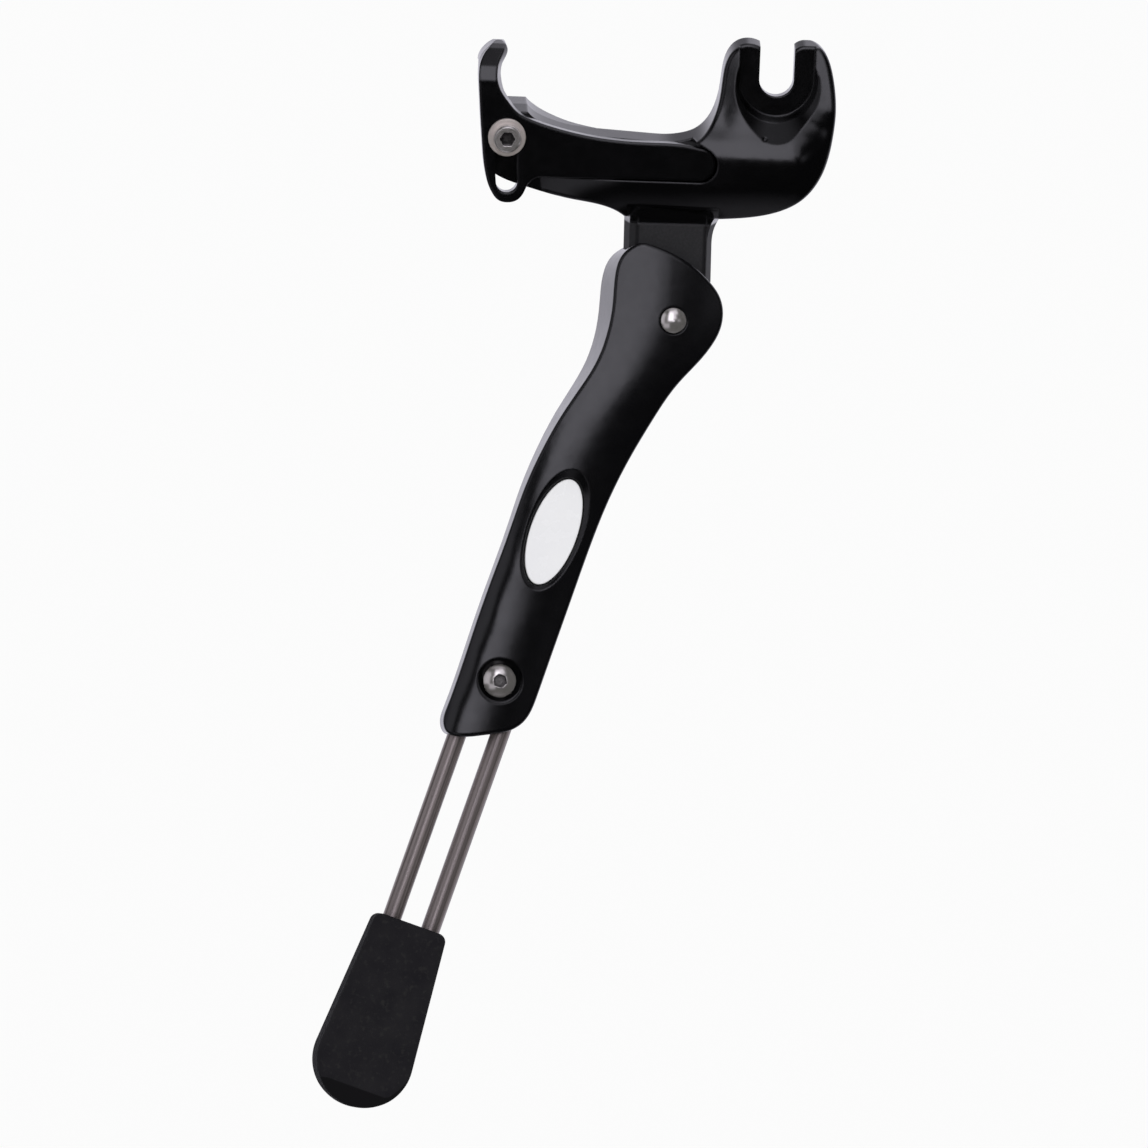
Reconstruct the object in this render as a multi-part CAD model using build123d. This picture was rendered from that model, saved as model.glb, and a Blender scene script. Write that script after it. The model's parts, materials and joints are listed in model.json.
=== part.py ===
from build123d import *
import math
import os

os.makedirs("parts", exist_ok=True)

# Clearances, in millimetres
RUN_FIT = 0.06
SLIDE_FIT = 0.10
SEAT_FIT = 0.05
SIDE_GAP = 0.20
FREE_GAP = 0.40

# Axle lug and arm of the bracket
AXLE_SLOT = 11.0
SEAT_RADIUS = 12.0
SEAT_LIP_RADIUS = 14.0
LUG_PLATE = 6.5
ARM_PLATE = 8.0
LAND_REACH = 10.0
SADDLE_DRAFT = 0.105
SADDLE_FALL = 0.20
BRACKET_EDGE = 1.5
LUG_FALL_LEFT = 1.3
LUG_FALL_RIGHT = 7.0
DISH_RADIUS = 13.4
DISH_DEPTH = 10.0
DISH_SLOPE = 0.9
PRONG_EDGE = 0.9
DIMPLE = (-3.3, -18.1)
DIMPLE_RADIUS = 1.0
DIMPLE_DEPTH = 0.45

# Hook arm and its screw
HOOK_PLATE = 6.0
HOOK_END_RADIUS = 5.3
HOOK_SWING = 12.7
HOOK_EDGE = 0.4
FULCRUM = (-23.8, -27.3)
HOOK_BOLT = (-85.2, -20.7)
HOOK_SCREW_RADIUS = 2.5
HOOK_SLOT = 6.8
HOOK_SLOT_SHIFT = 0.4
HOOK_HEAD_RADIUS = 4.35
HOOK_HEAD_HEIGHT = 4.2
HOOK_HEX = 4.3
HOOK_SCREW_LENGTH = 21.0
WASHER_RADIUS = 6.0
WASHER_THICKNESS = 1.2

# Leg pivot: place, outward splay and toe of its axis
PIVOT = (-30.95, -10.6, -77.9)
SPLAY = 8.0
TOE = 4.0
LEG_SWING = 110.0
TONGUE = 10.0
TONGUE_LEFT = 14.65
TONGUE_RIGHT = 13.5
CAM_RADIUS = 13.1
DETENT_DROP = 1.0
RIVET_RADIUS = 4.0
RIVET_HEAD_RADIUS = 5.6
RIVET_HEAD = 1.6
RIVET_DOME = 1.3

# Leg casting
HEAD_FRONT = 11.0
HEAD_BACK = 9.0
SHANK_FRONT = 9.0
SHANK_BACK = 4.0
LEG_EDGE = 1.1
LEG_LEAN = 18.2
LEG_FOOT_END = (-57.75, -133.0)

# Detent plunger and spring
PLUNGER_ANGLE = 240.0
PLUNGER_RADIUS = 4.5
PLUNGER_LENGTH = 20.0
PLUNGER_STEM_RADIUS = 2.2
PLUNGER_STEM = 5.0
SPRING_LENGTH = 24.0
SPRING_TURNS = 5.5
SPRING_RADIUS = 3.3
SPRING_WIRE = 1.3

# Twin rod, its clamp and the foot
ROD_RADIUS = 3.0
ROD_SPACING = 12.9
ROD_PLANE = 2.5
ROD_SHOWN = 63.7
ROD_HELD = 35.0
ROD_IN_FOOT = 36.0
ROD_TRAVEL_IN = 33.0
CLAMP_AT = 18.2
CLAMP_LENGTH = 22.0
CLAMP_MARGIN = 3.2
CLAMP_SCREW_RADIUS = 3.0
CLAMP_HEAD_RADIUS = 5.25
CLAMP_HEAD = 3.3
CLAMP_RIM = 1.2
CLAMP_HEX = 4.0
CLAMP_SINK_RADIUS = 7.3
CLAMP_SINK_FLOOR = 6.6
FOOT_TOP = 24.4
FOOT_TOP_TRIM = 0.6
FOOT_FLARE = 45.55
FOOT_RADIUS = 15.45
FOOT_DEPTH_TOP = 15.0
FOOT_DEPTH = 18.0
FOOT_EDGE = 2.8

# Oval badge
BADGE_AT = (-36.05, -68.0)
BADGE_LONG = 17.5
BADGE_SHORT = 7.5
BADGE_THICKNESS = 1.0
BADGE_FLOOR = 7.4
BADGE_BORDER = 4.0

# Outlines read from the front, x to the right and y up
SADDLE = [
    (-78.6, -11.6), (-76.6, -13.4), (-70.5, -16.2), (-65.6, -17.5), (-57.9, -18.4), (-48.7, -18.9),
    (-39.1, -19.4), (-34.3, -19.5), (-30.0, -19.0), (-25.0, -17.3), (-21.7, -14.4), (-19.4, -10.3),
    (-18.1, -5.7), (-17.4, -0.2), (-16.8, 4.6), (-15.4, 8.5), (-13.1, 11.1), (-10.0, 12.2), (-7.2, 12.0),
    (-5.2, 11.2),
]
PRONG_TOP = [(5.2, 10.5), (6.8, 11.7), (9.0, 12.15)]
LUG_SIDE = [
    (9.0, 12.15), (12.2, 11.6), (15.0, 9.2), (16.9, 5.3), (18.2, 0.0), (18.9, -5.0), (19.1, -10.5),
    (18.6, -17.0), (17.4, -23.6), (15.4, -29.4), (12.95, -33.6), (9.75, -37.2), (3.7, -41.1), (-4.6, -43.7),
    (-16.1, -45.1),
]
UNDERSIDE = [
    (-46.6, -45.3), (-49.6, -43.4), (-54.7, -41.7), (-64.7, -40.2), (-73.0, -38.4), (-79.5, -36.6),
    (-86.0, -34.4), (-89.5, -32.4),
]
# Depth of the bracket's curved face against y, and how much of it the rib keeps against x
BARREL = [
    (-56.0, 2.0), (-50.0, 5.4), (-45.0, 9.6), (-40.0, 13.2), (-35.0, 15.7), (-30.0, 16.9), (-26.0, 17.2),
    (-23.5, 17.0), (-21.0, 16.3), (-18.5, 15.1), (-16.0, 13.8), (-12.0, 12.3), (-4.0, 10.9), (4.0, 9.7),
    (8.0, 9.0), (11.0, 8.0), (14.0, 6.6), (20.0, 6.5),
]
RIB = [
    (-100.0, 0.0), (-84.0, 0.0), (-76.5, 0.0), (-70.0, 0.20), (-60.0, 0.55), (-48.0, 0.78), (-30.0, 0.83),
    (-12.0, 0.96), (0.0, 1.0), (30.0, 1.0),
]
HOOK_TOP_EDGE = [
    (-87.6, -1.6), (-87.2, -3.6), (-86.4, -5.9), (-84.4, -9.2), (-81.6, -12.5), (-79.4, -13.9),
    (-75.5, -15.5), (-70.7, -17.0), (-60.1, -19.3), (-49.6, -20.5), (-40.0, -20.8), (-33.6, -20.8),
    (-28.9, -21.1),
]
HOOK_LOBE = [
    (-73.8, -33.1), (-76.6, -34.2), (-78.2, -36.2), (-79.2, -38.5), (-81.2, -40.8), (-84.2, -41.6),
    (-87.0, -41.0),
    (-89.3, -38.4), (-90.5, -36.0), (-91.5, -32.6), (-92.25, -28.8), (-93.15, -21.1), (-93.85, -14.5),
    (-94.45, -7.7), (-94.85, -2.6), (-94.85, 1.0), (-94.5, 3.3), (-93.5, 5.3),
]
# The hook's tip at its back, then at its front, where its inner side stands back
HOOK_TIP_BACK = [
    (-91.6, 7.3), (-89.2, 8.7), (-87.0, 8.5), (-85.8, 6.7), (-86.2, 4.2), (-87.2, 2.0), (-87.6, 0.0),
    (-87.6, -1.6),
]
HOOK_TIP_FRONT = [
    (-92.3, 6.7), (-91.0, 7.4), (-89.8, 7.2), (-89.4, 5.9), (-89.4, 4.2), (-89.3, 2.0), (-89.2, 0.0),
    (-89.1, -1.6),
]
HOOK_TOP_FRONT = [
    (-89.1, -1.6), (-88.6, -3.9), (-87.5, -6.4), (-85.1, -9.6), (-82.0, -12.8), (-79.5, -14.1),
    (-75.5, -15.6),
]
# Depth toward the viewer, then height, of the hook seen from its end
HOOK_BEND = [
    (14.0, -50.0), (14.0, -2.6), (12.65, 1.5), (8.4, 6.9), (5.5, 8.1), (1.0, 8.8), (-3.0, 8.4), (-4.0, 7.2),
    (-4.0, 3.2), (-3.0, 2.2), (2.5, 2.2), (4.6, 1.2), (5.6, -1.0), (6.6, -3.8), (8.0, -6.6), (8.0, -50.0),
]
LEG_RIGHT = [
    (-9.1, 24.2), (-1.7, 21.7), (5.0, 18.1), (11.7, 12.4), (15.1, 7.6), (16.2, 2.6), (15.4, -2.6),
    (12.8, -7.7), (9.3, -12.3), (2.2, -20.2), (-5.4, -31.7), (-12.1, -43.6), (-19.2, -58.8), (-24.8, -74.2),
    (-29.8, -89.6), (-34.8, -104.9), (-39.7, -120.0), (-41.4, -124.6), (-44.0, -128.6), (-48.6, -131.5),
    (-55.7, -132.9), (-64.6, -133.7), (-68.3, -132.4), (-69.4, -128.9),
]
LEG_LEFT_FRONT = [
    (-68.3, -124.4), (-64.6, -113.4), (-59.9, -98.0), (-54.9, -82.6), (-51.0, -71.1), (-46.1, -55.7),
    (-43.1, -48.0), (-39.5, -40.3), (-34.9, -31.8), (-29.0, -22.8), (-23.6, -14.1), (-20.2, -5.0),
    (-18.4, 4.2), (-18.0, 13.0), (-16.4, 20.2), (-13.0, 23.5),
]
LEG_LEFT_BACK = [
    (-68.3, -124.4), (-64.6, -113.4), (-59.9, -98.0), (-54.9, -82.6), (-51.0, -71.1), (-46.1, -55.7),
    (-43.2, -48.0), (-39.8, -40.3), (-35.5, -31.8), (-30.2, -22.8), (-25.5, -14.1), (-22.6, -5.0),
    (-21.4, 4.2), (-20.7, 13.0), (-18.2, 19.6), (-13.8, 23.1),
]
# Middle line of the leg's crowned face, its height, half width and fall to the edges, each against y
RIDGE = [
    (-160.0, -66.0), (-120.0, -53.0), (-98.0, -46.2), (-71.0, -37.4), (-48.0, -28.6), (-32.0, -20.6),
    (-14.0, -9.0), (4.0, -2.6), (24.0, -1.0), (40.0, -1.0),
]
FACE = [
    (-160.0, SHANK_FRONT), (-120.0, SHANK_FRONT), (-90.0, SHANK_FRONT + 0.1), (-60.0, SHANK_FRONT + 0.8),
    (-25.0, HEAD_FRONT - 0.2), (0.0, HEAD_FRONT), (40.0, HEAD_FRONT - 0.6),
]
HALF_WIDTH = [(-160.0, 13.2), (-80.0, 13.2), (-40.0, 14.5), (-10.0, 16.5), (10.0, 17.5), (40.0, 17.5)]
FALL = [(-160.0, 1.8), (-80.0, 1.8), (-40.0, 2.0), (0.0, 2.2), (40.0, 2.2)]
SHOULDER = [
    (-160.0, 2.2), (-85.0, 2.2), (-60.0, 1.2), (-38.0, 0.5), (-15.0, 0.1), (0.0, 0.0), (40.0, 0.0),
]

FRONT = Plane.XZ
splay = math.radians(SPLAY)
toe = math.radians(TOE)
PIVOT_AXIS = (math.sin(toe) * math.cos(splay), -math.cos(toe) * math.cos(splay), math.sin(splay))
LEG = Plane(origin=PIVOT, x_dir=(math.cos(toe), math.sin(toe), 0), z_dir=PIVOT_AXIS)
lean = math.radians(LEG_LEAN)
ROD = Plane(
    origin=(LEG_FOOT_END[0], LEG_FOOT_END[1], ROD_PLANE),
    x_dir=(math.cos(lean), -math.sin(lean), 0),
    z_dir=(0, 0, 1),
)
HOOK_FRONT = ARM_PLATE + HOOK_PLATE
EAR_GAP = TONGUE / 2 + SIDE_GAP


def polygon(points):
    return make_face(Polyline(*points, close=True))


def between(face, low, high):
    """The flat face drawn on the sheet, made solid from one height to another."""
    return extrude(Pos(0, 0, low) * face, amount=high - low)


def smooth(table, at):
    """Value of a smooth curve through the table's points."""
    last = len(table) - 2
    i = max(0, min(last, sum(1 for x, _ in table[1:-1] if x <= at)))
    slopes = []
    for k in (i, i + 1):
        low = table[max(k - 1, 0)]
        high = table[min(k + 1, len(table) - 1)]
        slopes.append((high[1] - low[1]) / (high[0] - low[0]))
    (x0, y0), (x1, y1) = table[i], table[i + 1]
    t = (at - x0) / (x1 - x0)
    span = x1 - x0
    rise = (2 * t**3 - 3 * t**2 + 1) * y0 + (3 * t**2 - 2 * t**3) * y1
    return rise + span * ((t**3 - 2 * t**2 + t) * slopes[0] + (t**3 - t**2) * slopes[1])


def relief(xs, ys, height, depth):
    """Solid under a curved sheet given by its height at each point of a grid."""
    rows = [[Vector(x, y, height(x, y)) for y in ys] for x in xs]
    sheet = Face.make_surface_from_array_of_points(rows, tol=0.02)
    return Part() + Solid.extrude(sheet, Vector(0, 0, -depth))


def steps(low, high, count):
    return [low + (high - low) * i / (count - 1) for i in range(count)]


def hexagon(across):
    return RegularPolygon(across / math.sqrt(3), 6)


def polar(radius, degrees):
    a = math.radians(degrees)
    return (radius * math.cos(a), radius * math.sin(a))


def ease(t):
    """Rises gently from 0 to 1."""
    t = min(1.0, max(0.0, t))
    return t * t * (3 - 2 * t)


# Axle bracket
def bracket_depth(x, y):
    low = ARM_PLATE - 0.6
    rib = low + (smooth(BARREL, y) - low) * smooth(RIB, x)
    left = LUG_FALL_LEFT * ease((-10.5 - x) / 7.5) * ease((y + 22.0) / 12.0) * ease((x + 36.0) / 10.0)
    right = LUG_FALL_RIGHT * (max(0.0, x - 5.0) / 13.7) ** 2 * ease((-8.0 - y) / 18.0)
    return rib - left - right


blank_edge = [
    Spline(*LUG_SIDE),
    Line(LUG_SIDE[-1], UNDERSIDE[0]),
    Spline(*UNDERSIDE),
    Polyline(UNDERSIDE[-1], (UNDERSIDE[-1][0], 16.0), (LUG_SIDE[0][0], 16.0), LUG_SIDE[0]),
]
open_edge = [
    Polyline((-110, 40), (-110, SADDLE[0][1]), SADDLE[0]),
    Spline(*SADDLE),
    Line(SADDLE[-1], PRONG_TOP[0]),
    Spline(*PRONG_TOP),
    Polyline(PRONG_TOP[-1], (40, PRONG_TOP[-1][1]), (40, 40), (-110, 40)),
]
open_face = make_face(open_edge)
back_way = Vector(0, SADDLE_DRAFT, -1)
front_way = Vector(0, -SADDLE_FALL, 1)
open_top = extrude(open_face, amount=30 * back_way.length, dir=back_way.normalized())
open_top += extrude(open_face, amount=30 * front_way.length, dir=front_way.normalized())
outline = make_face(blank_edge)

# Lug and rib under one curved face, rounded along its whole rim
body = between(outline, 0, 30) & relief(steps(-96, 26, 31), steps(-54, 18, 37), bracket_depth, 60)
body -= open_top
brow = body.faces().filter_by(GeomType.PLANE, reverse=True).sort_by(SortBy.AREA)[-1]
body = fillet(brow.edges(), BRACKET_EDGE)

# Flat arm behind the hook plate, and its tail that reaches back under the frame's stay
arm = between(outline, 0, ARM_PLATE) & Pos(-70, 0, 0) * Box(60, 120, 60)
tail_plan = Plane.XZ * polygon([(-89.5, 1), (-89.5, -LAND_REACH), (-76, -LAND_REACH), (-56, 0), (-56, 1)])
arm += (Pos(0, -34, 0) * extrude(tail_plan, amount=-34)) & between(outline, -20, 20)
body += arm - open_top

# Pocket for the hook arm
pocket_radius = HOOK_END_RADIUS + FREE_GAP
turn = polar(pocket_radius, 60)
pocket_edge = [
    CenterArc(FULCRUM, pocket_radius, -90, 150),
    Polyline(
        (FULCRUM[0] + turn[0], FULCRUM[1] + turn[1]),
        (FULCRUM[0] + turn[0] - 7.8, FULCRUM[1] + turn[1] + 4.5),
        (FULCRUM[0] + turn[0] - 7.8, 0),
        (-100, 0),
        (-100, HOOK_LOBE[0][1] - SIDE_GAP),
        (HOOK_LOBE[0][0], HOOK_LOBE[0][1] - SIDE_GAP),
        (FULCRUM[0], FULCRUM[1] - pocket_radius),
    ),
]
body -= between(make_face(pocket_edge), ARM_PLATE, 40)

# Seat for the axle nut, then the slot itself
seat_low = Pos(0, 0, LUG_PLATE) * (Circle(SEAT_RADIUS) + Pos(0, 15) * Rectangle(2 * SEAT_RADIUS, 30))
body -= extrude(seat_low, amount=30)
lip_low = Pos(0, 0, LUG_PLATE + 0.8) * Circle(SEAT_RADIUS)
lip_high = Pos(0, -1.2, LUG_PLATE + 8) * Circle(SEAT_LIP_RADIUS + 0.8)
body -= loft([lip_low, lip_high])
dish_low = Pos(0, 0, DISH_DEPTH) * Circle(DISH_RADIUS)
dish_high = Pos(0, 0, DISH_DEPTH + 10 * DISH_SLOPE) * Circle(DISH_RADIUS + 10)
body -= loft([dish_low, dish_high])
dimple_depth = DISH_DEPTH + DISH_SLOPE * (math.hypot(*DIMPLE) - DISH_RADIUS)
dimple_depth = min(dimple_depth, bracket_depth(*DIMPLE))
dimple_ball = Rot(0, 90, 0) * Sphere(DIMPLE_RADIUS)
body -= Pos(*DIMPLE, dimple_depth + DIMPLE_RADIUS - DIMPLE_DEPTH) * dimple_ball
slot_face = Circle(AXLE_SLOT / 2) + Pos(0, 15) * Rectangle(AXLE_SLOT, 30)
body -= between(slot_face, -30, 40)
prong_tops = [
    e for e in body.edges()
    if abs(e.center().Z - LUG_PLATE) < 0.01 and e.center().Y > 9.5 and 5.6 < abs(e.center().X) < SEAT_RADIUS
]
body = fillet(prong_tops, PRONG_EDGE)
body -= Pos(HOOK_BOLT[0], HOOK_BOLT[1], 0) * Cylinder(HOOK_SCREW_RADIUS + SEAT_FIT, 60)
axle_bracket = FRONT * body

# Tongue that carries the leg, drawn on the leg's sheet
tongue_section = polygon([
    (-TONGUE_LEFT, -TONGUE / 2), (-TONGUE_LEFT + 0.9, 2.4), (-TONGUE_LEFT + 3.2, TONGUE / 2),
    (10.4, TONGUE / 2), (10.9, 4.2), (TONGUE_RIGHT, -TONGUE / 2),
])
tongue = extrude(Plane.XZ * tongue_section, amount=-37)
tongue += Cylinder(CAM_RADIUS, TONGUE)
root = []
for y, spread in ((25.0, 0.0), (29.0, 0.5), (32.5, 2.0), (36.5, 6.0)):
    root.append(Plane.XZ.offset(-y) * polygon([
        (5, -TONGUE / 2), (TONGUE_RIGHT + spread, -TONGUE / 2), (10.9 + spread, 4.2), (5, 4.2),
    ]))
tongue += loft(root)
flat = CAM_RADIUS - DETENT_DROP
for stop in (PLUNGER_ANGLE, PLUNGER_ANGLE + LEG_SWING):
    tongue -= Rot(0, 0, stop) * Pos(flat + 10, 0, 0) * Box(20, 14, 2 * TONGUE)
tongue -= Cylinder(RIVET_RADIUS + RUN_FIT, 3 * TONGUE)
front_half = FRONT * Pos(0, 0, 50) * Box(400, 400, 100)
axle_bracket += (LEG * tongue) & front_half

# Hook arm
arm_angle = math.degrees(math.atan2(HOOK_BOLT[1] - FULCRUM[1], HOOK_BOLT[0] - FULCRUM[0])) % 360
arm_length = math.hypot(HOOK_BOLT[0] - FULCRUM[0], HOOK_BOLT[1] - FULCRUM[1])


def hook_face(top, tip):
    return make_face([
        Spline(*top, (FULCRUM[0], FULCRUM[1] + HOOK_END_RADIUS)),
        CenterArc(FULCRUM, HOOK_END_RADIUS, -90, 180),
        Line((FULCRUM[0], FULCRUM[1] - HOOK_END_RADIUS), HOOK_LOBE[0]),
        Spline(*HOOK_LOBE, *tip),
    ])


hook_back = hook_face(HOOK_TOP_EDGE, HOOK_TIP_BACK)
hook_front = hook_face(HOOK_TOP_FRONT + HOOK_TOP_EDGE[len(HOOK_TOP_FRONT):], HOOK_TIP_FRONT)
hook = between(hook_back, -15, ARM_PLATE - 2)
hook += loft([Pos(0, 0, ARM_PLATE - 2) * hook_back, Pos(0, 0, HOOK_FRONT) * hook_front], ruled=True)
bend = [(ARM_PLATE + (d - 8.0) * HOOK_PLATE / 6.0, y) for d, y in HOOK_BEND]
bend_face = Plane(origin=(0, 0, 0), x_dir=(0, 0, 1), z_dir=(-1, 0, 0)) * polygon(bend)
hook = hook & extrude(bend_face, amount=120)
front_faces = [f for f in hook.faces().filter_by(Axis.Z) if abs(f.center().Z - HOOK_FRONT) < 0.01]
bend_line = HOOK_BEND[1][1]
hook = fillet([e for e in front_faces[0].edges() if e.center().Y < bend_line - 0.1], HOOK_EDGE)
slot_arc = CenterArc(FULCRUM, arm_length - HOOK_SLOT_SHIFT, arm_angle - 0.4, HOOK_SWING + 1.0)
hook -= between(SlotArc(slot_arc, HOOK_SLOT), -20, 40)
hook_arm = FRONT * hook

# Hook screw and washer
washer = Pos(HOOK_BOLT[0], HOOK_BOLT[1], HOOK_FRONT) * between(
    Circle(WASHER_RADIUS) - Circle(HOOK_SCREW_RADIUS + 0.15), 0, WASHER_THICKNESS
)
washer = chamfer(washer.edges().group_by(Axis.Z)[-1].sort_by(Edge.length)[-1:], 0.25)
hook_washer = FRONT * washer

head_base = HOOK_FRONT + WASHER_THICKNESS
screw = between(Circle(HOOK_HEAD_RADIUS), 0, HOOK_HEAD_HEIGHT)
screw = chamfer(screw.edges().group_by(Axis.Z)[-1], 0.6)
screw -= between(hexagon(HOOK_HEX), HOOK_HEAD_HEIGHT - 2.4, HOOK_HEAD_HEIGHT + 1)
screw += between(Circle(HOOK_SCREW_RADIUS), -HOOK_SCREW_LENGTH, 0)
hook_screw = FRONT * Pos(HOOK_BOLT[0], HOOK_BOLT[1], head_base) * screw


# Leg casting, drawn on its own sheet with the pivot at the origin
def leg_depth(x, y):
    across = (x - smooth(RIDGE, y)) * 0.94 / smooth(HALF_WIDTH, y)
    shoulder = smooth(SHOULDER, y) * (max(0.0, -0.5 - across) / 0.5) ** 2
    return smooth(FACE, y) - smooth(FALL, y) * across * across - shoulder


leg_front = Pos(0, 0, 16) * make_face(Spline(*LEG_RIGHT, *LEG_LEFT_FRONT, periodic=True))
leg_back = Pos(0, 0, -HEAD_BACK) * make_face(Spline(*LEG_RIGHT, *LEG_LEFT_BACK, periodic=True))
leg = loft([leg_back, leg_front], ruled=True)
leg = leg & relief(steps(-90, 34, 25), steps(-146, 34, 37), leg_depth, 90)
spine = Plane.YZ * polygon([
    (-200, -40), (-200, -SHANK_BACK), (-64, -SHANK_BACK), (-30, -HEAD_BACK), (-10, -HEAD_BACK - 5),
    (-10, -40),
])
leg -= extrude(spine, amount=120, both=True)
crown = leg.faces().filter_by(GeomType.PLANE, reverse=True).sort_by(Axis.Z)[-1]
leg = fillet(crown.edges(), LEG_EDGE)

# Slot for the tongue, swept over the whole swing of the leg
lift = polar(TONGUE_RIGHT + FREE_GAP, -LEG_SWING)
run = polar(46, 90 - LEG_SWING)
sweep_face = polygon([
    (-TONGUE_LEFT - SIDE_GAP, -0.6), (-TONGUE_LEFT - SIDE_GAP, 46), (46, 46),
    (lift[0] + run[0], lift[1] + run[1]), lift,
]) + Circle(CAM_RADIUS + FREE_GAP)
leg -= between(sweep_face, -EAR_GAP, EAR_GAP)
leg -= Cylinder(RIVET_RADIUS + SEAT_FIT, 60)
leg -= Pos(0, 0, HEAD_FRONT) * Cylinder(RIVET_RADIUS + 0.45, 1.6)

bore_end = CAM_RADIUS + SEAT_FIT + PLUNGER_LENGTH + SPRING_LENGTH
PLUNGE = Plane(origin=(0, 0, 0), x_dir=(0, 0, 1), z_dir=(*polar(1, PLUNGER_ANGLE), 0))
leg -= PLUNGE * between(Circle(PLUNGER_RADIUS + SLIDE_FIT), CAM_RADIUS - 2, bore_end)

# Rod bores, clamp pocket and screw sink at the lower end
half = ROD_SPACING / 2
rod_bores = Sketch() + [Pos(s * half, 0) * Circle(ROD_RADIUS + SLIDE_FIT) for s in (-1, 1)]
leg -= ROD * Pos(0, -8, 0) * extrude(Plane.XZ * rod_bores, amount=-(ROD_HELD + ROD_TRAVEL_IN + 9))
clamp_half = half + ROD_RADIUS + CLAMP_MARGIN - 2.6
clamp_place = ROD * Pos(0, CLAMP_AT, 0)
leg -= clamp_place * Pos(0, 0, -10) * Box(2 * clamp_half + FREE_GAP, CLAMP_LENGTH + FREE_GAP, 20)
leg -= clamp_place * Cylinder(CLAMP_SCREW_RADIUS + 0.2, 60)
sink_low = CLAMP_SINK_FLOOR - ROD_PLANE
leg -= clamp_place * between(Circle(CLAMP_SINK_RADIUS), sink_low, 30)

# Oval seat for the badge
badge_place = Pos(BADGE_AT[0], BADGE_AT[1], BADGE_FLOOR) * Rot(0, 0, 90 - LEG_LEAN)
seat_oval = Ellipse(BADGE_LONG + 0.3, BADGE_SHORT + 0.3)
rim_oval = Pos(0, 0, 3.2) * Ellipse(BADGE_LONG + BADGE_BORDER, BADGE_SHORT + BADGE_BORDER)
leg -= badge_place * between(seat_oval, 0, 8)
leg -= badge_place * loft([Pos(0, 0, 0.4) * seat_oval, rim_oval])
badge = badge_place * between(Ellipse(BADGE_LONG, BADGE_SHORT), 0, BADGE_THICKNESS)
badge = fillet(badge.edges().group_by(Axis.Z)[-1], 0.4)

# Rivet through both ears and the tongue
rivet = between(Circle(RIVET_RADIUS), -HEAD_BACK - RIVET_HEAD, HEAD_FRONT + 0.2)
dome_radius = (RIVET_RADIUS**2 + RIVET_DOME**2) / (2 * RIVET_DOME)
dome = Pos(0, 0, HEAD_FRONT + 0.2 + RIVET_DOME - dome_radius) * Sphere(dome_radius)
rivet += dome & between(Circle(RIVET_RADIUS), HEAD_FRONT - 1, HEAD_FRONT + 4)
rivet_head = between(Circle(RIVET_HEAD_RADIUS), -HEAD_BACK - RIVET_HEAD, -HEAD_BACK)
rivet += chamfer(rivet_head.edges().group_by(Axis.Z)[0], 0.8)

# Detent plunger and its spring in the leg's bore
nose = CAM_RADIUS + SEAT_FIT
plunger = between(Circle(PLUNGER_RADIUS), nose, nose + PLUNGER_LENGTH)
plunger = chamfer(plunger.edges().group_by(Axis.Z)[0], 0.6)
plunger += between(Circle(PLUNGER_STEM_RADIUS), nose + PLUNGER_LENGTH, nose + PLUNGER_LENGTH + PLUNGER_STEM)

coil_low = nose + PLUNGER_LENGTH
coil_high = coil_low + SPRING_LENGTH
pitch = (SPRING_LENGTH - SPRING_WIRE) / SPRING_TURNS
coil_path = Pos(0, 0, coil_low + SPRING_WIRE / 2) * Helix(pitch, pitch * SPRING_TURNS, SPRING_RADIUS)
coil_start = Plane(origin=coil_path @ 0, x_dir=(1, 0, 0), z_dir=coil_path % 0)
coil = sweep(coil_start * Rectangle(SPRING_WIRE, SPRING_WIRE), path=coil_path, is_frenet=True)
coil = coil & between(Circle(PLUNGER_RADIUS), coil_low, coil_high)

# Twin rod bent in one piece, and the foot moulded over its bend
rod_low = -ROD_SHOWN - ROD_IN_FOOT + half
rod_path = Polyline((-half, ROD_HELD), (-half, rod_low)) + CenterArc((0, rod_low), half, 180, 180)
rod_path += Line((half, rod_low), (half, ROD_HELD))
rod_start = Plane(origin=(-half, ROD_HELD, 0), z_dir=(0, -1, 0))
rod = sweep(rod_start * Circle(ROD_RADIUS), path=rod_path)
rod = chamfer(rod.edges().filter_by(GeomType.CIRCLE).group_by(Axis.Y)[-1], 0.6)
rod_mould = sweep(rod_start * Circle(ROD_RADIUS + SEAT_FIT), path=rod_path)

foot_top = -ROD_SHOWN
foot_centre = foot_top - FOOT_FLARE
foot_right = FOOT_TOP / 2 - FOOT_TOP_TRIM
flare = math.degrees(math.atan2(FOOT_RADIUS - FOOT_TOP / 2, FOOT_FLARE))
right_flare = math.degrees(math.atan2(FOOT_RADIUS - foot_right, FOOT_FLARE))
left_touch = polar(FOOT_RADIUS, 180 - flare)
right_touch = polar(FOOT_RADIUS, right_flare)
foot_edge = [
    Line((-FOOT_TOP / 2, foot_top), (foot_right, foot_top)),
    Line((foot_right, foot_top), (right_touch[0], foot_centre + right_touch[1])),
    CenterArc((0, foot_centre), FOOT_RADIUS, right_flare, -180 - flare - right_flare),
    Line((left_touch[0], foot_centre + left_touch[1]), (-FOOT_TOP / 2, foot_top)),
]
foot = between(make_face(foot_edge), -20, 20)
sole = foot_centre - FOOT_RADIUS
foot_side = Plane.YZ * polygon([
    (foot_top + 1, FOOT_DEPTH_TOP / 2), (foot_centre, FOOT_DEPTH / 2), (sole + 6.5, FOOT_DEPTH / 2),
    (sole - 1, FOOT_DEPTH / 2 - 4.5), (sole - 1, -FOOT_DEPTH / 2 + 3.5), (sole + 5, -FOOT_DEPTH / 2),
    (foot_centre, -FOOT_DEPTH / 2), (foot_top + 1, -FOOT_DEPTH_TOP / 2),
])
foot = foot & extrude(foot_side, amount=40, both=True)
foot_rims = [e for e in foot.edges() if e.length > 6]
foot = fillet(foot_rims, FOOT_EDGE)
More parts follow.
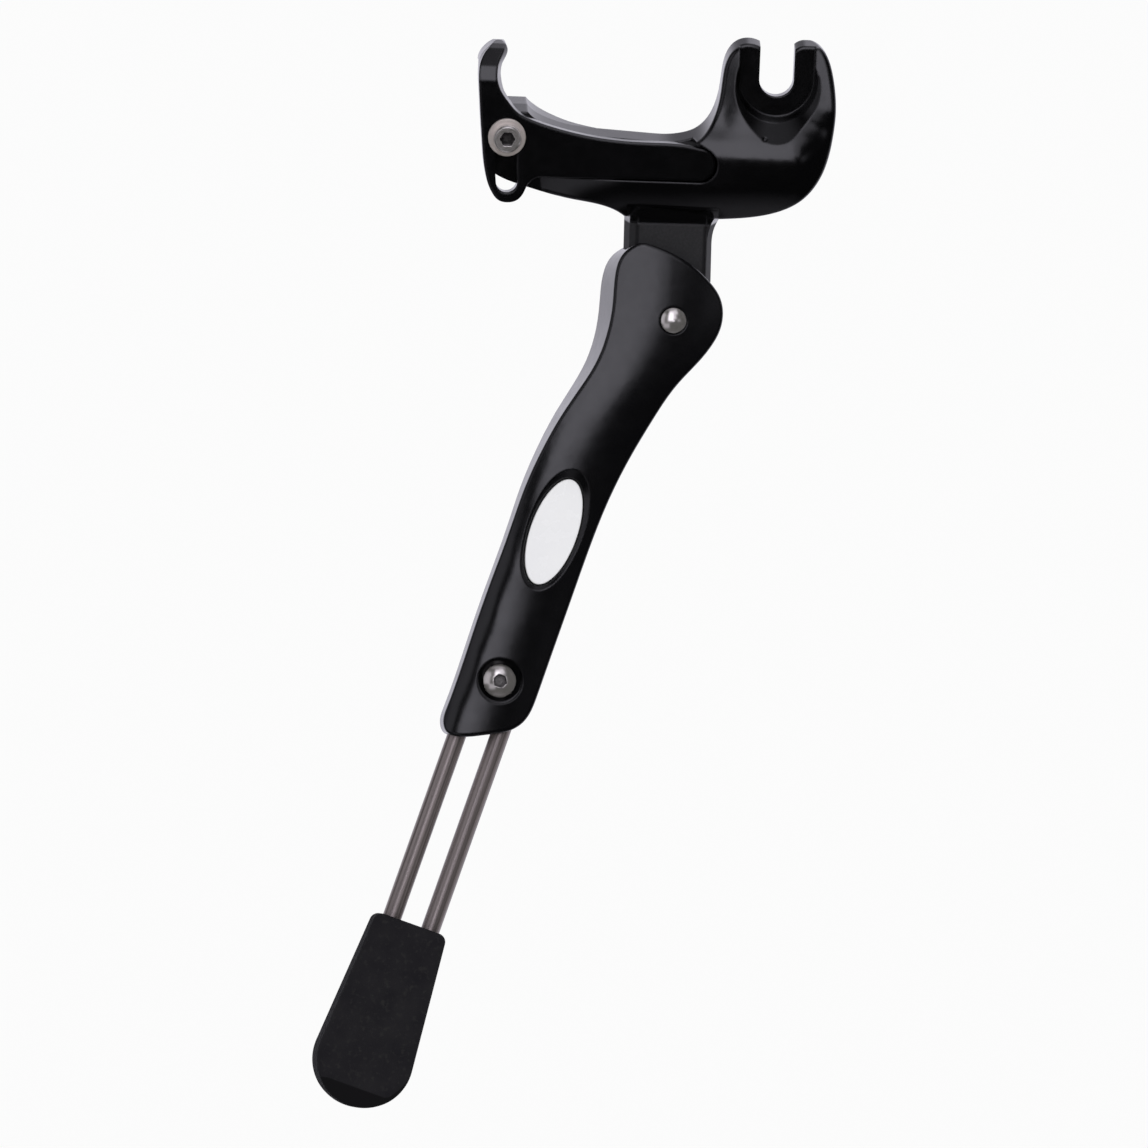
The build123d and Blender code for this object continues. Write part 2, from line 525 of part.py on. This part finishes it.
foot -= rod_mould

# Clamp plate behind the rods and its button-head screw
plate_back = -SHANK_BACK - ROD_PLANE + 0.4
plate = Pos(0, CLAMP_AT, 0) * between(Rectangle(2 * clamp_half, CLAMP_LENGTH), plate_back, -0.8)
plate -= Pos(0, -60, 0) * extrude(Plane.XZ * rod_bores, amount=-200)
plate -= Pos(0, CLAMP_AT, 0) * Cylinder(CLAMP_SCREW_RADIUS + SEAT_FIT, 40)
plate = chamfer(plate.faces().sort_by(Axis.Z)[0].edges().filter_by(GeomType.LINE), 0.5)

dome_height = CLAMP_HEAD - CLAMP_RIM
ball = (CLAMP_HEAD_RADIUS**2 + dome_height**2) / (2 * dome_height)
button = Pos(0, 0, CLAMP_HEAD - ball) * Sphere(ball)
button = button & between(Circle(CLAMP_HEAD_RADIUS), 0, CLAMP_HEAD - 0.35)
button -= between(hexagon(CLAMP_HEX), CLAMP_HEAD - 2.1, CLAMP_HEAD + 1)
button += between(Circle(CLAMP_SCREW_RADIUS), plate_back - sink_low, 0)
button = Pos(0, CLAMP_AT, sink_low) * button

parts = {
    "axle_bracket": axle_bracket,
    "hook_arm": hook_arm,
    "hook_screw": hook_screw,
    "hook_washer": hook_washer,
    "leg": LEG * leg,
    "badge": LEG * badge,
    "pivot_rivet": LEG * rivet,
    "detent_plunger": LEG * PLUNGE * plunger,
    "detent_spring": LEG * PLUNGE * coil,
    "rod_fork": LEG * ROD * rod,
    "foot": LEG * ROD * foot,
    "rod_clamp_plate": LEG * ROD * plate,
    "rod_clamp_screw": LEG * ROD * button,
}
for name, part in parts.items():
    export_step(part, f"parts/{name}.step")
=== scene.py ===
import json
import math

import bmesh
import bpy
from mathutils import Matrix, Vector


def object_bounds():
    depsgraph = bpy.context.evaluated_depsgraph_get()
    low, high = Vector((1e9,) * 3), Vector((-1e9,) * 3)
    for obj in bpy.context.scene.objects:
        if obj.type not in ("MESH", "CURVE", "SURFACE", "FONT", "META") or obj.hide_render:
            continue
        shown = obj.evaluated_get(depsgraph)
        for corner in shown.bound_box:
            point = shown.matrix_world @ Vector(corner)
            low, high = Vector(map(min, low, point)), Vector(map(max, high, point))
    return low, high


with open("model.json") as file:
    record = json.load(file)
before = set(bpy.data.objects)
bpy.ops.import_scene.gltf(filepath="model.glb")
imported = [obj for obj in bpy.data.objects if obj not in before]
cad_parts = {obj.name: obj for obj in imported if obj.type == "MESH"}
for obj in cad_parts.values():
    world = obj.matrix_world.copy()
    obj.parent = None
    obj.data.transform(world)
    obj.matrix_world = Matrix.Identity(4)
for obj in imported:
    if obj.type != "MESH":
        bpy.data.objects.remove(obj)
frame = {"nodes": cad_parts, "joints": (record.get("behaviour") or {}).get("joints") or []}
cad_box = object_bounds()
nodes = frame["nodes"]
joint_axes = {joint["name"]: Vector(joint["axis"]) for joint in frame["joints"]}

# The photograph's view: pixels of its square frame, scale at the object and the axle's place in it
PICTURE = 1148
PIXELS_PER_METRE = 3150.0
AXLE_PIXEL = (776, 78)
AXLE_POINT = Vector((0.0, -0.003, 0.0))
VIEW_AZIMUTH = math.radians(-3.0)
VIEW_ELEVATION = math.radians(8.0)
VIEW_ROLL = math.radians(2.5)
VIEW_DISTANCE = 10.0
VIEW_REACH = 100.0
SENSOR = 36.0

# Floor, and the even light of the world
OPAQUE = 1.0
FLOOR_DROP = 0.25
FLOOR_SPAN = 40.0
FLOOR_COLOUR = (0.97, 0.97, 0.97)
FLOOR_ROUGHNESS = 0.9
WORLD_COLOUR = (1.0, 1.0, 1.0)
WORLD_LIGHT = 1.0

# The shell that reflections see, with its strength where no light falls on it
SHELL_RADIUS = 6.0
SHELL_SEGMENTS = 48
SHELL_TINT = (0.98, 0.96, 1.07)
SHELL_DARK = 0.012

# Patches of light, in degrees right of the front and above level: begin, full, last full and end
PATCHES = {
    "soft_box": {"glow": 2.25, "turn": (-26, -16, 5, 12), "rise": (1, 8, 44, 70)},
    "right_side": {"glow": 0.5, "turn": (24, 38, 38, 52), "rise": (-3, 7, 7, 18)},
    "right_top": {"glow": 1.1, "turn": (5, 12, 34, 52), "rise": (34, 46, 56, 72)},
    "right_fill": {"glow": 1.1, "turn": (5, 12, 18, 30), "rise": (12, 18, 34, 46)},
    "left_side": {"glow": 0.6, "turn": (-94, -60, -46, -36), "rise": (-16, -8, 30, 50)},
    "left_low": {"glow": 0.5, "turn": (-52, -40, -18, -8), "rise": (-42, -26, -14, -6)},
}

# The backdrop behind the object, which fades as it rises on the left, by metres across the shell
BACK_GLOW = 0.98
BACK_LEFT = (-106, -126)
BACK_RIGHT = (82, 106)
BACK_RISE = (-70, -30)
FADE_DEPTH = 0.58
FADE_RISE = (2, 24)
FADE_ACROSS = (0.6, -0.3)

# Faint light from above, in front of the backdrop, and from below
TOP_GLOW = 0.35
TOP_RISE = (50, 75)
TOP_ASIDE = (112, 92)
LOW_GLOW = 0.3
LOW_RISE = (-45, -80)

# All finishes: noise scales are per metre, lengths are in metres, and a bump is its strength and its depth
NOISE_DETAIL = 3.0
NOISE_SPAN = (0.3, 0.7)
EDGE_SAMPLES = 6
OPEN_SAMPLES = 8
OPEN_SPAN = (0.55, 0.95)

# Black coating: how far an edge looks rounded, clouds of tone and of gloss, waviness and grain
COAT_EDGE = 0.0007
HOOK_EDGE = 0.0012
CLOUD_SCALE = 90
CLOUD_SHADE = 0.9
GLOSS_SCALE = 260
WAVE_SCALE = 450
WAVE_DETAIL = 1.0
WAVE_BUMP = (0.08, 0.0001)
GRAIN_DETAIL = 2.0
GRAIN_STRENGTH = 0.2

# The screw's sink in the leg, square to its face as the pivot is, with a floor shaded as if it leaned
SINK_AXIS = joint_axes["leg_pivot"]
SINK_RADIUS = 0.0071
SINK_BORDER = 0.0003
SINK_SHADE = 0.4

# The bracket's coating: glossy above the tongue's top, and cast skin below it, crossed by two dark lines of
# painted shade
BRACKET_EDGE = 0.0009
BRACKET_DARK = (0.0011, 0.0011, 0.0013)
BRACKET_LIGHT = (0.0014, 0.0014, 0.0017)
BRACKET_ROUGH = (0.16, 0.21)
CAST_DARK = (0.0075, 0.0072, 0.0085)
CAST_LIGHT = (0.0150, 0.0147, 0.0165)
CAST_ROUGH = 0.75
CAST_DETAIL = 4.0
CAST_SPECK_SCALE = 1500
CAST_GRAIN_SCALE = 1800
CAST_GRAIN_STRENGTH = (0.12, 0.7)
CAST_GRAIN_DEPTH = 0.00006
TONGUE_TOP = -0.0468
TONGUE_TOP_BORDER = 0.0008
TONGUE_ROOT = -0.0408
TONGUE_ROOT_LEAN = 0.0021
TONGUE_SIDES = (-0.0462, -0.0165)
TONGUE_SIDE_BORDER = 0.0005
TONGUE_SHADE_LINES = (-0.0424, -0.0208)
TONGUE_SHADE_LINE_BORDER = (0.0003, 0.0009)

# Steel: an edge's rounding, marks of making, and painted shade in sockets and corners within a reach
STEEL_EDGE = 0.00035
MARK_DETAIL = 4.0
MARK_STREAK = 0.08
MARK_BUMP = (0.08, 0.00003)
SOCKET_REACH = 0.003
SOCKET_PAINTED_SHADE = 0.12
UPRIGHT = Vector((0.0, 0.0, 1.0))
ROD_AXIS = joint_axes["rod_slide"]

# Rubber foot: mottled and specked, with painted shade where its surface slopes down
RUBBER_DARK = (0.0113, 0.0107, 0.0131)
RUBBER_LIGHT = (0.0158, 0.0151, 0.0170)
RUBBER_SPECK = (0.0208, 0.0202, 0.0208)
RUBBER_PAINTED_SHADE = (0.0070, 0.0067, 0.0076)
RUBBER_PAINTED_SHADE_SLOPE = (-0.2, -0.32)
RUBBER_ROUGH = (0.6, 0.8)
RUBBER_ROUGH_SCALE = 400
RUBBER_SPECULAR = 0.02
RUBBER_MOTTLE_SCALE = 130
RUBBER_MOTTLE_DETAIL = 5.0
RUBBER_SPECK_SCALE = 700
RUBBER_SPECK_SPAN = (0.55, 0.75)
RUBBER_GRAIN_SCALE = 2500
RUBBER_GRAIN_BUMP = (0.3, 0.0001)

# White badge: pearl enamel under a clear coat
ENAMEL_DARK = (0.80, 0.80, 0.83)
ENAMEL_LIGHT = (0.88, 0.88, 0.89)
ENAMEL_CLOUD_SCALE = 60
ENAMEL_ROUGH = (0.22, 0.3)
ENAMEL_ROUGH_SCALE = 300
ENAMEL_GRAIN_SCALE = 900
ENAMEL_GRAIN_BUMP = (0.05, 0.00003)
ENAMEL_COAT = 0.4
ENAMEL_COAT_ROUGH = 0.1


def place_camera():
    """A long lens at the photograph's viewing angle, with the axle on its pixel."""
    right = Vector((math.cos(VIEW_AZIMUTH), math.sin(VIEW_AZIMUTH), 0.0))
    back = Vector((
        math.sin(VIEW_AZIMUTH) * math.cos(VIEW_ELEVATION),
        -math.cos(VIEW_AZIMUTH) * math.cos(VIEW_ELEVATION),
        math.sin(VIEW_ELEVATION),
    ))
    up = back.cross(right)
    rolled_right = right * math.cos(VIEW_ROLL) + up * math.sin(VIEW_ROLL)
    rolled_up = up * math.cos(VIEW_ROLL) - right * math.sin(VIEW_ROLL)
    across = (AXLE_PIXEL[0] - PICTURE / 2) / PIXELS_PER_METRE
    above = (PICTURE / 2 - AXLE_PIXEL[1]) / PIXELS_PER_METRE
    centre = AXLE_POINT - rolled_right * across - rolled_up * above
    data = bpy.data.cameras.new("camera")
    data.sensor_width = SENSOR
    data.lens = SENSOR * VIEW_DISTANCE * PIXELS_PER_METRE / PICTURE
    data.clip_end = VIEW_REACH
    camera = bpy.data.objects.new("camera", data)
    turn = Matrix((rolled_right, rolled_up, back)).transposed()
    camera.matrix_world = Matrix.Translation(centre + back * VIEW_DISTANCE) @ turn.to_4x4()
    bpy.context.scene.collection.objects.link(camera)
    bpy.context.scene.camera = camera


class Graph:
    """The nodes of one shader, made by plain calls."""

    def __init__(self, tree):
        self.tree = tree

    def add(self, kind):
        return self.tree.nodes.new("ShaderNode" + kind)

    def feed(self, value, socket):
        """Set a socket to a number or a colour, or link it to a node's output."""
        if isinstance(value, tuple):
            socket.default_value = (*value, OPAQUE)
        elif isinstance(value, (int, float)):
            socket.default_value = value
        else:
            self.tree.links.new(value, socket)

    def split(self, vector):
        """The three numbers of a vector, by place or by the letters X, Y and Z."""
        node = self.add("SeparateXYZ")
        self.feed(vector, node.inputs[0])
        return node.outputs

    def math(self, operation, first, second=0.0):
        node = self.add("Math")
        node.operation = operation
        self.feed(first, node.inputs[0])
        self.feed(second, node.inputs[1])
        return node.outputs[0]

    def product(self, *values):
        result = values[0]
        for value in values[1:]:
            result = self.math("MULTIPLY", result, value)
        return result

    def mapped(self, value, start, end, low, high, course="LINEAR"):
        """Goes from low to high while a value goes from start to end, and no further."""
        node = self.add("MapRange")
        node.interpolation_type = course
        self.feed(value, node.inputs["Value"])
        self.feed(start, node.inputs["From Min"])
        self.feed(end, node.inputs["From Max"])
        self.feed(low, node.inputs["To Min"])
        self.feed(high, node.inputs["To Max"])
        return node.outputs["Result"]

    def ramp(self, value, start, end):
        """0 at start and 1 at end, with a soft course between them, whichever is the lower."""
        if start < end:
            return self.mapped(value, start, end, 0.0, 1.0, "SMOOTHSTEP")
        return self.mapped(value, end, start, 1.0, 0.0, "SMOOTHSTEP")

    def span(self, value, begin, full, last_full, end):
        """1 from full to last_full, and 0 outside begin and end."""
        return self.product(self.ramp(value, begin, full), self.ramp(value, end, last_full))


class Finish(Graph):
    """A material under construction, with the place on the surface in metres and the way that it faces."""

    def __init__(self, name):
        self.material = bpy.data.materials.new(name)
        self.material.use_nodes = True
        super().__init__(self.material.node_tree)
        self.shader = self.tree.nodes["Principled BSDF"]
        source = self.add("TexCoord")
        self.place = source.outputs["Object"]
        self.facing = source.outputs["Normal"]
        self.normal = None

    def set(self, **values):
        """Set the shader's own sockets to values that are the same all over."""
        for name, value in values.items():
            self.feed(value, self.shader.inputs[name.replace("_", " ")])

    def colour(self, value):
        self.feed(value, self.shader.inputs["Base Color"])

    def rough(self, value):
        self.feed(value, self.shader.inputs["Roughness"])

    def along(self, axis, fine, long):
        """The place, scaled by fine across an axis and by long along it."""
        node = self.add("Mapping")
        node.vector_type = "TEXTURE"
        node.inputs["Rotation"].default_value = axis.to_track_quat("Z", "Y").to_euler()
        node.inputs["Scale"].default_value = (1 / fine, 1 / fine, 1 / long)
        self.feed(self.place, node.inputs["Vector"])
        return node.outputs["Vector"]

    def noise(self, scale, detail=NOISE_DETAIL, vector=None):
        node = self.add("TexNoise")
        node.inputs["Scale"].default_value = scale
        node.inputs["Detail"].default_value = detail
        self.feed(vector or self.place, node.inputs["Vector"])
        return node.outputs["Fac"]

    def ranged(self, value, low, high, span=NOISE_SPAN):
        """Goes from low to high over the values that a noise mostly has."""
        return self.mapped(value, *span, low, high)

    def tone(self, value, dark, light):
        """A colour between two others."""
        node = self.add("Mix")
        node.data_type = "RGBA"
        self.feed(value, node.inputs["Factor"])
        self.feed(dark, node.inputs["A"])
        self.feed(light, node.inputs["B"])
        return node.outputs["Result"]

    def vector_math(self, operation, first, second=None):
        node = self.add("VectorMath")
        node.operation = operation
        self.feed(first, node.inputs[0])
        if second is not None:
            node.inputs[1].default_value = second
        return node.outputs

    def from_axis(self, centre, axis):
        """Distance from a line."""
        away = self.vector_math("SUBTRACT", self.place, centre)["Vector"]
        across = self.vector_math("CROSS_PRODUCT", away, axis)["Vector"]
        return self.vector_math("LENGTH", across)["Value"]

    def open_to_air(self, reach):
        """1 on open faces, and less in sockets and corners of the same piece."""
        node = self.add("AmbientOcclusion")
        node.samples = OPEN_SAMPLES
        node.only_local = True
        node.inputs["Distance"].default_value = reach
        return self.ranged(node.outputs["AO"], 0.0, 1.0, OPEN_SPAN)

    def edge(self, radius):
        """Sharp edges catch the light as if broken by this radius."""
        node = self.add("Bevel")
        node.samples = EDGE_SAMPLES
        node.inputs["Radius"].default_value = radius
        self.normal = node.outputs["Normal"]

    def bump(self, height, strength, depth):
        """Lay a bump over what the surface already has."""
        node = self.add("Bump")
        self.feed(strength, node.inputs["Strength"])
        node.inputs["Distance"].default_value = depth
        self.feed(height, node.inputs["Height"])
        if self.normal:
            self.feed(self.normal, node.inputs["Normal"])
        self.normal = node.outputs["Normal"]

    def done(self):
        if self.normal:
            self.feed(self.normal, self.shader.inputs["Normal"])
        return self


def plain_mesh(name, corners):
    """A flat four-cornered sheet for the studio, linked into the scene."""
    mesh = bpy.data.meshes.new(name)
    mesh.from_pydata(corners, [], [tuple(range(len(corners)))])
    sheet = bpy.data.objects.new(name, mesh)
    bpy.context.scene.collection.objects.link(sheet)
    return sheet


def studio_floor():
    """A wide pale floor that reflections don't see."""
    level = cad_box[0].z - FLOOR_DROP
    half = FLOOR_SPAN / 2
    corners = [(-half, -half, level), (half, -half, level), (half, half, level), (-half, half, level)]
    floor = plain_mesh("floor", corners)
    floor.visible_glossy = False
    paint = Finish("floor")
    paint.set(Base_Color=FLOOR_COLOUR, Roughness=FLOOR_ROUGHNESS, Specular_IOR_Level=0.0)
    floor.data.materials.append(paint.material)


def shell_lights(graph):
    """The strengths of the patches, of the backdrop, and of the light from above and below."""
    x, y, z = graph.split(graph.add("TexCoord").outputs["Object"])
    turn = graph.math("DEGREES", graph.math("ARCTAN2", x, graph.math("MULTIPLY", y, -1.0)))
    rise = graph.math("DEGREES", graph.math("ARCSINE", graph.math("DIVIDE", z, SHELL_RADIUS)))
    lights = []
    for patch in PATCHES.values():
        across = graph.span(turn, *patch["turn"])
        upward = graph.span(rise, *patch["rise"])
        lights.append(graph.product(across, upward, patch["glow"]))
    fade = graph.product(graph.ramp(rise, *FADE_RISE), graph.ramp(x, *FADE_ACROSS), FADE_DEPTH)
    behind = graph.math("ADD", graph.ramp(turn, *BACK_LEFT), graph.ramp(turn, *BACK_RIGHT))
    back_glow = graph.math("SUBTRACT", BACK_GLOW, fade)
    lights.append(graph.product(behind, graph.ramp(rise, *BACK_RISE), back_glow))
    before = graph.ramp(graph.math("ABSOLUTE", turn), *TOP_ASIDE)
    lights.append(graph.product(graph.ramp(rise, *TOP_RISE), before, TOP_GLOW))
    lights.append(graph.product(graph.ramp(rise, *LOW_RISE), LOW_GLOW))
    return lights


def shell_glow():
    """The shell's material, which only shines."""
    material = bpy.data.materials.new("shell")
    material.use_nodes = True
    graph = Graph(material.node_tree)
    graph.tree.nodes.clear()
    strength = SHELL_DARK
    for light in shell_lights(graph):
        strength = graph.math("ADD", light, strength)
    glow = graph.add("Emission")
    graph.feed(SHELL_TINT, glow.inputs["Color"])
    graph.feed(strength, glow.inputs["Strength"])
    output = graph.add("OutputMaterial")
    graph.feed(glow.outputs[0], output.inputs["Surface"])
    return material


def studio_shell():
    """What reflections see: a white backdrop, soft patches of light, and the dark between them."""
    mesh = bpy.data.meshes.new("shell")
    shape = bmesh.new()
    rings = SHELL_SEGMENTS // 2
    bmesh.ops.create_uvsphere(shape, u_segments=SHELL_SEGMENTS, v_segments=rings, radius=SHELL_RADIUS)
    shape.to_mesh(mesh)
    shape.free()
    mesh.materials.append(shell_glow())
    shell = bpy.data.objects.new("shell", mesh)
    bpy.context.scene.collection.objects.link(shell)
    shell.visible_camera = False
    shell.visible_diffuse = False
    shell.visible_shadow = False
    shell.visible_transmission = False


def studio_light():
    """Even light from all round, with colours shown as they are."""
    scene = bpy.context.scene
    scene.world = bpy.data.worlds.new("studio")
    scene.world.use_nodes = True
    sky = scene.world.node_tree.nodes["Background"]
    sky.inputs["Color"].default_value = (*WORLD_COLOUR, OPAQUE)
    sky.inputs["Strength"].default_value = WORLD_LIGHT
    scene.view_settings.view_transform = "Standard"
    scene.view_settings.look = "None"


def shaded(colour, share):
    return tuple(share * part for part in colour)


def black_coat(name, base, rough, grain, grain_depth, edge=COAT_EDGE, sink=None):
    """Black coating on a casting: fine grain over a faint waviness, and a shaded floor in a screw's sink."""
    coat = Finish(name)
    coat.colour(coat.tone(coat.noise(CLOUD_SCALE), shaded(base, CLOUD_SHADE), base))
    coat.rough(coat.ranged(coat.noise(GLOSS_SCALE), *rough))
    coat.edge(edge)
    if sink is not None:
        inside = coat.ramp(coat.from_axis(sink, SINK_AXIS), SINK_RADIUS, SINK_RADIUS - SINK_BORDER)
        height = coat.split(coat.place)["Z"]
        lean = coat.mapped(height, sink.z - SINK_RADIUS, sink.z + SINK_RADIUS, 0.0, 1.0)
        coat.bump(lean, inside, 2 * SINK_RADIUS * SINK_SHADE)
    coat.bump(coat.noise(WAVE_SCALE, WAVE_DETAIL), *WAVE_BUMP)
    coat.bump(coat.noise(grain, GRAIN_DETAIL), GRAIN_STRENGTH, grain_depth)
    return coat.done()


def bracket_coat():
    """The bracket's coating: glossy above, and grainy where the tongue keeps its cast skin, with two lines
    of painted shade on the tongue.
    """
    coat = Finish("bracket_black")
    x, _, z = coat.split(coat.place)
    cast = coat.ramp(z, TONGUE_TOP, TONGUE_TOP - TONGUE_TOP_BORDER)
    # Painted shade: along two lines the tongue keeps the dark glossy colour instead of the cast grey
    grey = cast
    for line in TONGUE_SHADE_LINES:
        off_line = coat.math("ABSOLUTE", coat.math("SUBTRACT", x, line))
        grey = coat.product(grey, coat.ramp(off_line, *TONGUE_SHADE_LINE_BORDER))
    glossy = coat.tone(coat.noise(CLOUD_SCALE), BRACKET_DARK, BRACKET_LIGHT)
    specks = coat.ranged(coat.noise(CAST_SPECK_SCALE, CAST_DETAIL), 0.0, 1.0)
    coat.colour(coat.tone(grey, glossy, coat.tone(specks, CAST_DARK, CAST_LIGHT)))
    glossy_rough = coat.ranged(coat.noise(GLOSS_SCALE), *BRACKET_ROUGH)
    coat.rough(coat.mapped(cast, 0.0, 1.0, glossy_rough, CAST_ROUGH))
    coat.edge(BRACKET_EDGE)
    left, right = TONGUE_SIDES
    on_tongue = coat.span(x, left, left + TONGUE_SIDE_BORDER, right - TONGUE_SIDE_BORDER, right)
    coat.bump(coat.ramp(z, TONGUE_TOP, TONGUE_ROOT), on_tongue, TONGUE_ROOT_LEAN)
    coat.bump(coat.noise(WAVE_SCALE, WAVE_DETAIL), *WAVE_BUMP)
    grain_strength = coat.mapped(cast, 0.0, 1.0, *CAST_GRAIN_STRENGTH)
    coat.bump(coat.noise(CAST_GRAIN_SCALE, CAST_DETAIL), grain_strength, CAST_GRAIN_DEPTH)
    return coat.done()


def metal(name, colour, metallic, rough, fine, axis=UPRIGHT, long=None, streak=MARK_STREAK):
    """Bare or plated steel with fine marks, which are long along an axis where it has been drawn, and
    painted shade in its sockets and corners.
    """
    steel = Finish(name)
    steel.set(Metallic=metallic)
    marks = steel.noise(scale=1.0, detail=MARK_DETAIL, vector=steel.along(axis, fine, long or fine))
    bare = steel.tone(steel.ranged(marks, 0.0, 1.0), shaded(colour, 1 - streak), colour)
    # Painted shade: the colour darkens where ambient occlusion finds sockets and corners
    steel.colour(steel.tone(steel.open_to_air(SOCKET_REACH), shaded(colour, SOCKET_PAINTED_SHADE), bare))
    steel.rough(steel.ranged(marks, *rough))
    steel.edge(STEEL_EDGE)
    steel.bump(marks, *MARK_BUMP)
    return steel.done()


def rubber():
    """Matt moulded rubber: mottled, with pale specks, and painted shade on the facet that slopes down."""
    matt = Finish("rubber")
    mottle = matt.ranged(matt.noise(RUBBER_MOTTLE_SCALE, RUBBER_MOTTLE_DETAIL), 0.0, 1.0)
    specks = matt.ranged(matt.noise(RUBBER_SPECK_SCALE), 0.0, 1.0, RUBBER_SPECK_SPAN)
    skin = matt.tone(specks, matt.tone(mottle, RUBBER_DARK, RUBBER_LIGHT), RUBBER_SPECK)
    # Painted shade: the colour darkens where the surface faces down
    under = matt.ramp(matt.split(matt.facing)["Z"], *RUBBER_PAINTED_SHADE_SLOPE)
    matt.colour(matt.tone(under, skin, RUBBER_PAINTED_SHADE))
    matt.rough(matt.ranged(matt.noise(RUBBER_ROUGH_SCALE), *RUBBER_ROUGH))
    matt.bump(matt.noise(RUBBER_GRAIN_SCALE), *RUBBER_GRAIN_BUMP)
    matt.set(Specular_IOR_Level=RUBBER_SPECULAR)
    return matt.done()


def white_enamel():
    """Clouded white enamel with a clear coat."""
    enamel = Finish("white_enamel")
    enamel.colour(enamel.tone(enamel.noise(ENAMEL_CLOUD_SCALE), ENAMEL_DARK, ENAMEL_LIGHT))
    enamel.rough(enamel.ranged(enamel.noise(ENAMEL_ROUGH_SCALE), *ENAMEL_ROUGH))
    enamel.bump(enamel.noise(ENAMEL_GRAIN_SCALE, GRAIN_DETAIL), *ENAMEL_GRAIN_BUMP)
    enamel.set(Coat_Weight=ENAMEL_COAT, Coat_Roughness=ENAMEL_COAT_ROUGH)
    return enamel.done()


def dress(finish, *names):
    for name in names:
        materials = nodes[name].data.materials
        materials.clear()
        materials.append(finish.material)


def dress_castings():
    """Black coatings: glossy on the bracket and the hook arm, satin on the leg."""
    dress(bracket_coat(), "axle_bracket")
    gloss = black_coat(
        "gloss_black", base=(0.0013, 0.0013, 0.0016), rough=(0.15, 0.2),
        grain=3000, grain_depth=0.00002, edge=HOOK_EDGE,
    )
    dress(gloss, "hook_arm")
    corners = [Vector(corner) for corner in nodes["rod_clamp_screw"].bound_box]
    satin = black_coat(
        "satin_black", base=(0.0020, 0.0020, 0.0025), rough=(0.19, 0.23),
        grain=2200, grain_depth=0.00003, sink=sum(corners, Vector()) / len(corners),
    )
    dress(satin, "leg")


def dress_steel():
    """Bright screws and rivet, plated small parts, and rods with the streaks of drawing."""
    bright = metal("bright_steel", colour=(0.62, 0.59, 0.57), metallic=0.85, rough=(0.16, 0.24), fine=900)
    dress(bright, "hook_screw", "pivot_rivet", "rod_clamp_screw")
    plated = metal("plated_steel", colour=(0.64, 0.58, 0.54), metallic=0.7, rough=(0.35, 0.45), fine=900)
    dress(plated, "hook_washer", "detent_plunger", "detent_spring", "rod_clamp_plate")
    drawn = metal(
        "drawn_steel", colour=(0.29, 0.25, 0.245), metallic=0.6, rough=(0.3, 0.4),
        fine=1600, axis=ROD_AXIS, long=12, streak=0.55,
    )
    dress(drawn, "rod_fork")


place_camera()
studio_floor()
studio_shell()
studio_light()
dress_castings()
dress_steel()
dress(rubber(), "foot")
dress(white_enamel(), "badge")
